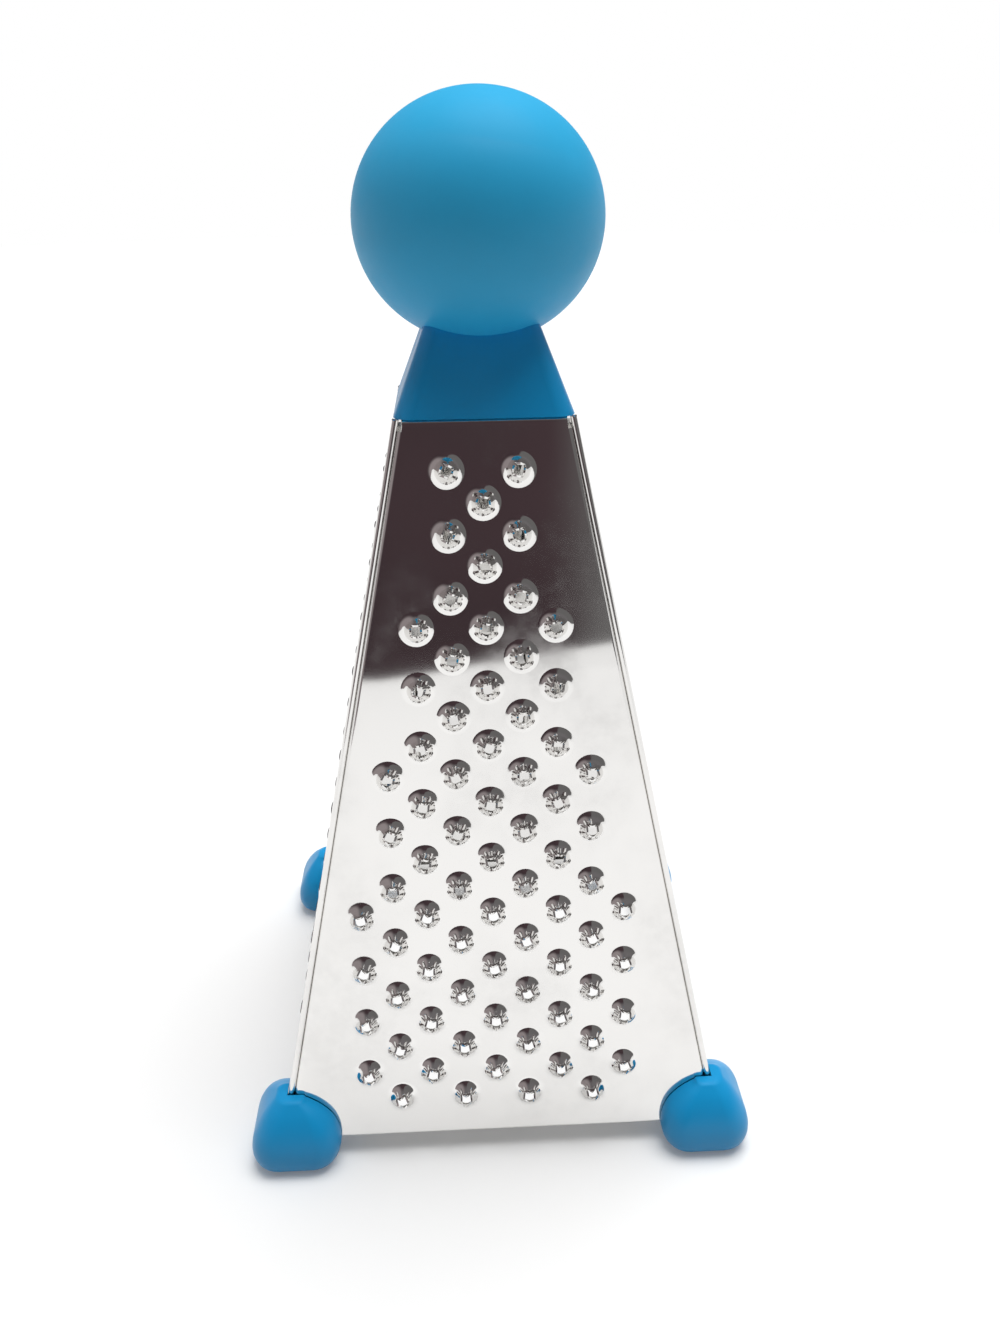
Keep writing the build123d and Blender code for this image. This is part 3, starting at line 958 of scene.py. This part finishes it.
def scoop(mesh, body, sizes, place):
    """One scoop: a hood with an arched section that rises out of the face towards its mouth."""
    across, mouth_up = place
    steps = sizes.around
    turns = [pi * turn / steps for turn in range(steps + 1)]
    rows = []
    sides = []
    for step in range(steps + 1):
        part = step / steps
        half = sizes.mouth * (1.0 - (1.0 - sizes.tail) * part**1.6)
        rise = sizes.rise * (1.0 - part) * (1.0 + 0.35 * part)
        up = mouth_up - sizes.run * part
        row = []
        for turn in turns:
            row.append(on_face(body, across + half * cos(turn), up, rise * sin(turn) ** 0.8))
        rows.append(row)
        sides.append((half, up))
    hood, closed_end = rows[:-1], rows[-2:]
    strip(mesh, hood)
    strip(mesh, closed_end)
    tail_half, tail_up = sides[-1]
    outline = [(across + half, up) for half, up in sides]
    outline += [(across + tail_half * cos(turn), tail_up) for turn in turns[1:-1]]
    outline += [(across - half, up) for half, up in reversed(sides)]
    return outline + opening_ahead(across, mouth_up, sizes.mouth - body.sheet, sizes.gap)


def slicing_lip(mesh, body, sizes, up):
    """One slicing lip: a broad ramp with rounded sides that ends in a cutting edge."""
    half = half_up(body, up) - sizes.edge
    low = up - sizes.run
    steps = 10
    side_steps = 6
    turns = [pi / 2 * step / side_steps for step in range(side_steps + 1)]
    inward = [sizes.shoulder * (1 - cos(turn)) for turn in turns]
    across = [-half + x for x in inward] + [half - x for x in reversed(inward)]
    swell = [sin(turn) for turn in turns + turns[::-1]]
    rows = []
    for step in range(steps + 1):
        part = step / steps
        rise = sizes.rise * (part * part * (3 - 2 * part) * 0.35 + part * 0.65)
        here = up - sizes.run * (1 - part)
        rows.append([on_face(body, x, here, rise * share_of) for x, share_of in zip(across, swell)])
    strip(mesh, rows)
    ramp = [low + sizes.run * step / steps for step in range(steps + 1)]
    outline = [(half, place) for place in ramp]
    outline += reversed(opening_ahead(0.0, up, half - body.sheet, sizes.gap))
    outline += [(-half, place) for place in reversed(ramp)]
    return outline + [(x, low) for x in across[1:-1]]


def build_sheet(body, side, side_edge, punch, thickness_at=None):
    """One sheet: its bent edges, what is punched into it, and the flat between them."""
    mesh = bmesh.new()
    outline = side_edge(mesh, body)
    flat_face(mesh, body, outline, punch(mesh))
    finish_sheet(mesh, body, side, thickness_at)


def build_scooped_sheet(body, side, side_edge, sizes):
    """A sheet with a staggered pattern of scoops."""
    highest = slope_length_of(body) - sizes.margin
    places = staggered(body, sizes.pitch, sizes.row_step, highest, sizes.margin, sizes.edge)
    build_sheet(
        body, side, side_edge, lambda mesh: [scoop(mesh, body, sizes, place) for place in places]
    )


# Corner feet


def smooth_level(levels, place):
    """Value at a place of a smooth curve through (place, value) pairs."""
    index = 0
    while index < len(levels) - 2 and place > levels[index + 1][0]:
        index += 1
    before = levels[max(index - 1, 0)]
    low, high = levels[index], levels[index + 1]
    after = levels[min(index + 2, len(levels) - 1)]
    span = high[0] - low[0]
    part = (place - low[0]) / span
    rise_low = (high[1] - before[1]) / (high[0] - before[0]) * span
    rise_high = (after[1] - low[1]) / (after[0] - low[0]) * span
    square = part * part
    cube = square * part
    return (
        (2 * cube - 3 * square + 1) * low[1]
        + (cube - 2 * square + part) * rise_low
        + (3 * square - 2 * cube) * high[1]
        + (cube - square) * rise_high
    )


def round_corner(before, corner, after, radius, steps=8):
    """Points of an arc that rounds a right-angled corner."""
    towards = (before - corner).normalized()
    away = (after - corner).normalized()
    centre = corner + (towards + away) * radius
    points = []
    for step in range(steps + 1):
        turn = pi / 2 * step / steps
        points.append(centre - away * radius * cos(turn) - towards * radius * sin(turn))
    return points


def foot_outline(sizes, half, end, corner, end_round):
    """Plan of the front left foot at one level, as a closed outline."""
    start = Vector((-end, -sizes.inner))
    lobe_one = Vector((-end, -half))
    outer = Vector((-half, -half))
    lobe_two = Vector((-half, -end))
    finish = Vector((-sizes.inner, -end))
    points = [start]
    points += round_corner(start, lobe_one, outer, end_round)
    points += round_corner(lobe_one, outer, lobe_two, corner)
    points += round_corner(outer, lobe_two, finish, end_round)
    return points + [finish, Vector((-sizes.inner, -sizes.inner))]


def closed_solid(outlines):
    """A closed solid through outlines with the same count of points, one above the other."""
    mesh = bmesh.new()
    made = strip(mesh, [outline + [outline[0].copy()] for outline in outlines])
    mesh.faces.new(made[0][:-1])
    mesh.faces.new(made[-1][:-1][::-1])
    bmesh.ops.remove_doubles(mesh, verts=mesh.verts, dist=FOOT_JOIN)
    bmesh.ops.triangulate(mesh, faces=[face for face in mesh.faces if len(face.verts) > 4])
    bmesh.ops.recalc_face_normals(mesh, faces=mesh.faces)
    return mesh


def foot_cushion(sizes):
    """The front left foot without its slot: a rounded cushion round the corner."""
    # How far the outer faces bulge and how much the lobes are shortened, each from 0 to 1, by
    # their height as a share of the wall
    bulges = (
        (0.0, 0.62),
        (0.04, 0.74),
        (0.12, 0.91),
        (0.28, 1.0),
        (0.48, 0.93),
        (0.70, 0.68),
        (0.88, 0.34),
        (1.0, 0.0),
    )
    shortenings = (
        (0.0, 0.42),
        (0.05, 0.28),
        (0.15, 0.11),
        (0.30, 0.01),
        (0.42, 0.0),
        (0.58, 0.07),
        (0.72, 0.22),
        (0.84, 0.46),
        (0.93, 0.72),
        (1.0, 1.0),
    )
    wall_steps = 30
    crest_steps = 6
    crest_start = pi / 4
    wall_top = sizes.height - sizes.crest_round * (1.0 - sin(crest_start))
    levels = []
    for step in range(wall_steps + 1):
        up = step / wall_steps
        levels.append((wall_top * up, smooth_level(bulges, up), smooth_level(shortenings, up), 0.0))
    for step in range(1, crest_steps + 1):
        turn = crest_start * (1.0 + step / crest_steps)
        height = wall_top + sizes.crest_round * (sin(turn) - sin(crest_start))
        levels.append((height, 0.0, 1.0, sizes.crest_round * (cos(crest_start) - cos(turn))))
    outlines = []
    for height, bulge, shortening, inset in levels:
        outline = foot_outline(
            sizes,
            sizes.crest_half + (sizes.belly_half - sizes.crest_half) * bulge - inset,
            sizes.end + (sizes.end_crest - sizes.end) * shortening + 0.5 * inset,
            sizes.corner_crest + (sizes.corner - sizes.corner_crest) * bulge,
            sizes.end_round + (sizes.end_round_crest - sizes.end_round) * shortening,
        )
        outlines.append([Vector((point.x, point.y, height)) for point in outline])
    return closed_solid(outlines)


def foot_slot(sizes, body, swapped):
    """Cutter for one arm of the slot, along X or, swapped, along Y."""
    lean = (body.base_width - body.top_width) / 2 / (BODY_TOP - BODY_BOTTOM)
    near = 0.6 * sizes.end
    top = 1.3 * sizes.height
    outlines = []
    for height in (sizes.lift, top):
        outer = body.base_width / 2 - lean * (height - BODY_BOTTOM) + sizes.clearance
        inner = outer - sizes.slot_width
        corners = [(-outer, -outer), (-near, -outer), (-near, -inner), (-outer, -inner)]
        if swapped:
            corners = [(y, x) for x, y in corners]
        outlines.append([Vector((x, y, height)) for x, y in corners])
    return closed_solid(outlines)


def foot_shape(sizes, body):
    """Mesh of the front left foot, with the slot that grips the steel."""
    cushion = link_mesh("foot_pattern", foot_cushion(sizes))
    cutters = [link_mesh("foot_slot", foot_slot(sizes, body, swapped)) for swapped in (False, True)]
    for cutter in cutters:
        cut = cushion.modifiers.new("Slot", "BOOLEAN")
        cut.operation = "DIFFERENCE"
        cut.solver = "MANIFOLD"
        cut.object = cutter
    shape = settled_mesh(cushion)
    for helper in [cushion] + cutters:
        bpy.data.objects.remove(helper)
    return shape


# Operators, one for each piece or group of like pieces


class GRATER_OT_finishes(bpy.types.Operator):
    """Makes the finishes and gives them to the ball, the collar and the fixing"""

    bl_idname = "grater.finishes"
    bl_label = "Finishes"

    def execute(self, context):
        colours = context.scene.grater_colours
        mirror_steel(tuple(colours.steel))
        zinc = plated_steel(tuple(colours.plated))
        satin = moulded_plastic(
            "Satin blue plastic", tuple(colours.plastic), 0.34, 0.46, 2600.0, 0.010 * MM, 0.10
        )
        matte = moulded_plastic(
            "Matte blue plastic", tuple(colours.knob), 0.48, 0.58, 3800.0, 0.012 * MM, 0.08
        )
        dress("knob_ball", matte)
        dress("neck_collar", satin)
        for node in ("clamp_plate", "washer", "knob_screw"):
            dress(node, zinc)
        return {"FINISHED"}


class GRATER_OT_front_sheet(bpy.types.Operator):
    """Builds the front sheet with its burst teeth"""

    bl_idname = "grater.front_sheet"
    bl_label = "Front sheet"

    def execute(self, context):
        body = context.scene.grater_body
        sizes = context.scene.grater_burst
        chance = Random(7)
        highest = slope_length_of(body) - sizes.highest
        places = staggered(body, sizes.pitch, sizes.row_step, highest, sizes.lowest, sizes.edge)

        def punch(mesh):
            """The teeth, moved aside together, and the outlines of their holes."""
            return [
                burst_tooth(mesh, body, sizes, (across - sizes.off_centre, up), chance)
                for across, up in places
            ]

        def thickness_at(point):
            """Full thickness on the sheet, falling towards the petals' tips."""
            lean = taper_of(body)
            out = (point.z - BODY_BOTTOM) * sin(lean) - (point.y + body.base_width / 2) * cos(lean)
            part = min(1.0, max(0.0, out / sizes.rise))
            return 1.0 - (1.0 - sizes.tip_thickness) * part**0.6

        build_sheet(body, "front", lapped_sides, punch, thickness_at)
        return {"FINISHED"}


class GRATER_OT_rear_sheet(bpy.types.Operator):
    """Builds the rear sheet with its coarse scoops"""

    bl_idname = "grater.rear_sheet"
    bl_label = "Rear sheet"

    def execute(self, context):
        scene = context.scene
        build_scooped_sheet(scene.grater_body, "rear", lapped_sides, scene.grater_coarse)
        return {"FINISHED"}


class GRATER_OT_left_sheet(bpy.types.Operator):
    """Builds the left sheet with its fine scoops"""

    bl_idname = "grater.left_sheet"
    bl_label = "Left sheet"

    def execute(self, context):
        scene = context.scene
        build_scooped_sheet(scene.grater_body, "left", beaded_sides, scene.grater_fine)
        return {"FINISHED"}


class GRATER_OT_right_sheet(bpy.types.Operator):
    """Builds the right sheet with its slicing lips"""

    bl_idname = "grater.right_sheet"
    bl_label = "Right sheet"

    def execute(self, context):
        body = context.scene.grater_body
        sizes = context.scene.grater_slicer
        edges = [sizes.lowest + number * sizes.step for number in range(sizes.count)]
        build_sheet(
            body,
            "right",
            beaded_sides,
            lambda mesh: [slicing_lip(mesh, body, sizes, up) for up in edges],
        )
        return {"FINISHED"}


class GRATER_OT_feet(bpy.types.Operator):
    """Builds the four corner feet"""

    bl_idname = "grater.feet"
    bl_label = "Corner feet"

    def execute(self, context):
        shape = foot_shape(context.scene.grater_feet, context.scene.grater_body)
        for node, turn in FOOT_TURNS.items():
            data = shape.copy()
            data.name = node + "_shape"
            data.transform(Matrix.Rotation(radians(turn), 4, "Z"))
            piece = bpy.data.objects.new(node + "_shape", data)
            context.scene.collection.objects.link(piece)
            shade(piece, radians(FOOT_CREASE))
            piece.data.materials.clear()
            piece.data.materials.append(bpy.data.materials["Satin blue plastic"])
            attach(piece, "root")
            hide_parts(node)
        bpy.data.meshes.remove(shape)
        return {"FINISHED"}


class GRATER_OT_stage(bpy.types.Operator):
    """Sets up the floor, the dark dome, the soft light and the camera"""

    bl_idname = "grater.stage"
    bl_label = "Stage"

    def execute(self, context):
        scene = context.scene
        stage = scene.grater_stage
        self.build_floor(stage, scene.grater_body.base_width)
        self.build_dome(stage)
        scene.world = self.room(stage)
        self.hang_lamp(scene, stage)
        self.place_camera(scene, stage)
        scene.view_settings.view_transform = "Standard"
        return {"FINISHED"}

    def build_floor(self, stage, body_width):
        """A round table top."""
        mesh = bmesh.new()
        bmesh.ops.create_circle(mesh, cap_ends=True, segments=128, radius=stage.floor_radius)
        table = link_mesh("table_top", mesh)
        table.data.materials.append(white_table_top(stage, body_width))

    def build_dome(self, stage):
        """A dark dome over the white table, which only mirrors show."""
        radius = stage.dome_radius
        middle = (BODY_BOTTOM + BODY_TOP) / 2 + 0.02
        levels = 12
        sectors = 72
        front_edge, front_slope, front_half = -1.9, 0.13, 20.0
        side_edge, side_start, side_width = 8.0, 35.0, 45.0
        crown = 89.9
        rows = []
        for level in range(levels + 1):
            row = []
            for step in range(sectors + 1):
                turn = 360.0 / sectors * step - 180.0
                low = front_edge + front_slope * max(-front_half, min(front_half, turn))
                aside = min(1.0, max(0.0, (abs(turn) - side_start) / side_width))
                low += (side_edge - low) * aside * aside * (3.0 - 2.0 * aside)
                up = radians(low + (crown - low) * level / levels)
                across = radius * cos(up) * sin(radians(turn))
                along = -radius * cos(up) * cos(radians(turn))
                row.append(Vector((across, along, middle + radius * sin(up))))
            rows.append(row)
        mesh = bmesh.new()
        strip(mesh, rows)
        dome = link_mesh("dark_dome", mesh)
        dome.data.materials.append(dark_dome(stage))
        dome.visible_camera = False
        dome.visible_diffuse = False
        dome.visible_shadow = False

    def room(self, stage):
        """White where it is seen; for matte surfaces soft, and brighter behind than in front."""
        world = bpy.data.worlds.new("Studio")
        world.use_nodes = True
        tree = world.node_tree
        background = tree.nodes["Background"]
        background.inputs["Color"].default_value = (1.0, 1.0, 1.0, 1.0)
        direction = tree.nodes.new("ShaderNodeTexCoord")
        apart = tree.nodes.new("ShaderNodeSeparateXYZ")
        tree.links.new(direction.outputs["Generated"], apart.inputs["Vector"])
        soft = smooth_range(
            tree, apart.outputs["Y"], -0.75, 0.35, stage.ambient_front, stage.ambient
        )
        strength = mix_node(tree, "FLOAT", seen_directly(tree), soft, 1.0)
        tree.links.new(strength, background.inputs["Strength"])
        return world

    def hang_lamp(self, scene, stage):
        """A soft square light overhead, which mirrors don't show."""
        lamp = bpy.data.lights.new("overhead_light", "AREA")
        lamp.shape = "SQUARE"
        lamp.size = stage.lamp_width
        lamp.energy = stage.lamp_power
        holder = bpy.data.objects.new("overhead_light", lamp)
        away = Vector(stage.lamp_place)
        holder.location = away
        holder.rotation_mode = "QUATERNION"
        holder.rotation_quaternion = away.to_track_quat("Z", "Y")
        holder.visible_glossy = False
        scene.collection.objects.link(holder)

    def place_camera(self, scene, stage):
        """The camera, about where the photograph was taken from."""
        data = bpy.data.cameras.new("photo_camera")
        data.sensor_fit = "HORIZONTAL"
        data.sensor_width = 36.0
        data.lens = data.sensor_width * stage.focal
        data.clip_start = 0.002
        data.clip_end = 20.0
        camera = bpy.data.objects.new("photo_camera", data)
        turned = (
            Matrix.Rotation(-stage.heading, 4, "Z")
            @ Matrix.Rotation(pi / 2 - stage.tilt, 4, "X")
            @ Matrix.Rotation(stage.roll, 4, "Z")
        )
        camera.matrix_world = Matrix.Translation(Vector(stage.camera_place)) @ turned
        scene.collection.objects.link(camera)
        scene.camera = camera


class GRATER_PT_panel(bpy.types.Panel):
    """Lists the grater's pieces and sizes"""

    bl_idname = "GRATER_PT_panel"
    bl_label = "Small box grater"
    bl_space_type = "VIEW_3D"
    bl_region_type = "UI"
    bl_category = "Grater"

    def draw(self, context):
        layout = self.layout
        for operator in OPERATORS:
            layout.operator(operator.bl_idname)
        for attribute, group in SETTINGS.items():
            box = layout.box()
            box.label(text=attribute.replace("grater_", "").capitalize())
            values = getattr(context.scene, attribute)
            for label in group.__annotations__:
                box.prop(values, label)


OPERATORS = (
    GRATER_OT_finishes,
    GRATER_OT_front_sheet,
    GRATER_OT_rear_sheet,
    GRATER_OT_left_sheet,
    GRATER_OT_right_sheet,
    GRATER_OT_feet,
    GRATER_OT_stage,
)
SETTINGS = {
    "grater_body": GraterBodySizes,
    "grater_burst": GraterBurstSizes,
    "grater_coarse": GraterCoarseSizes,
    "grater_fine": GraterFineSizes,
    "grater_slicer": GraterSlicerSizes,
    "grater_feet": GraterFootSizes,
    "grater_colours": GraterColours,
    "grater_stage": GraterStageSettings,
}


def register():
    for attribute, group in SETTINGS.items():
        bpy.utils.register_class(group)
        setattr(bpy.types.Scene, attribute, PointerProperty(type=group))
    for operator in OPERATORS:
        bpy.utils.register_class(operator)
    bpy.utils.register_class(GRATER_PT_panel)


def unregister():
    bpy.utils.unregister_class(GRATER_PT_panel)
    for operator in reversed(OPERATORS):
        bpy.utils.unregister_class(operator)
    for attribute, group in reversed(SETTINGS.items()):
        delattr(bpy.types.Scene, attribute)
        bpy.utils.unregister_class(group)


def main():
    """Dresses the whole grater."""
    register()
    bpy.ops.grater.finishes()
    bpy.ops.grater.front_sheet()
    bpy.ops.grater.rear_sheet()
    bpy.ops.grater.left_sheet()
    bpy.ops.grater.right_sheet()
    bpy.ops.grater.feet()
    bpy.ops.grater.stage()


if __name__ == "__main__":
    main()
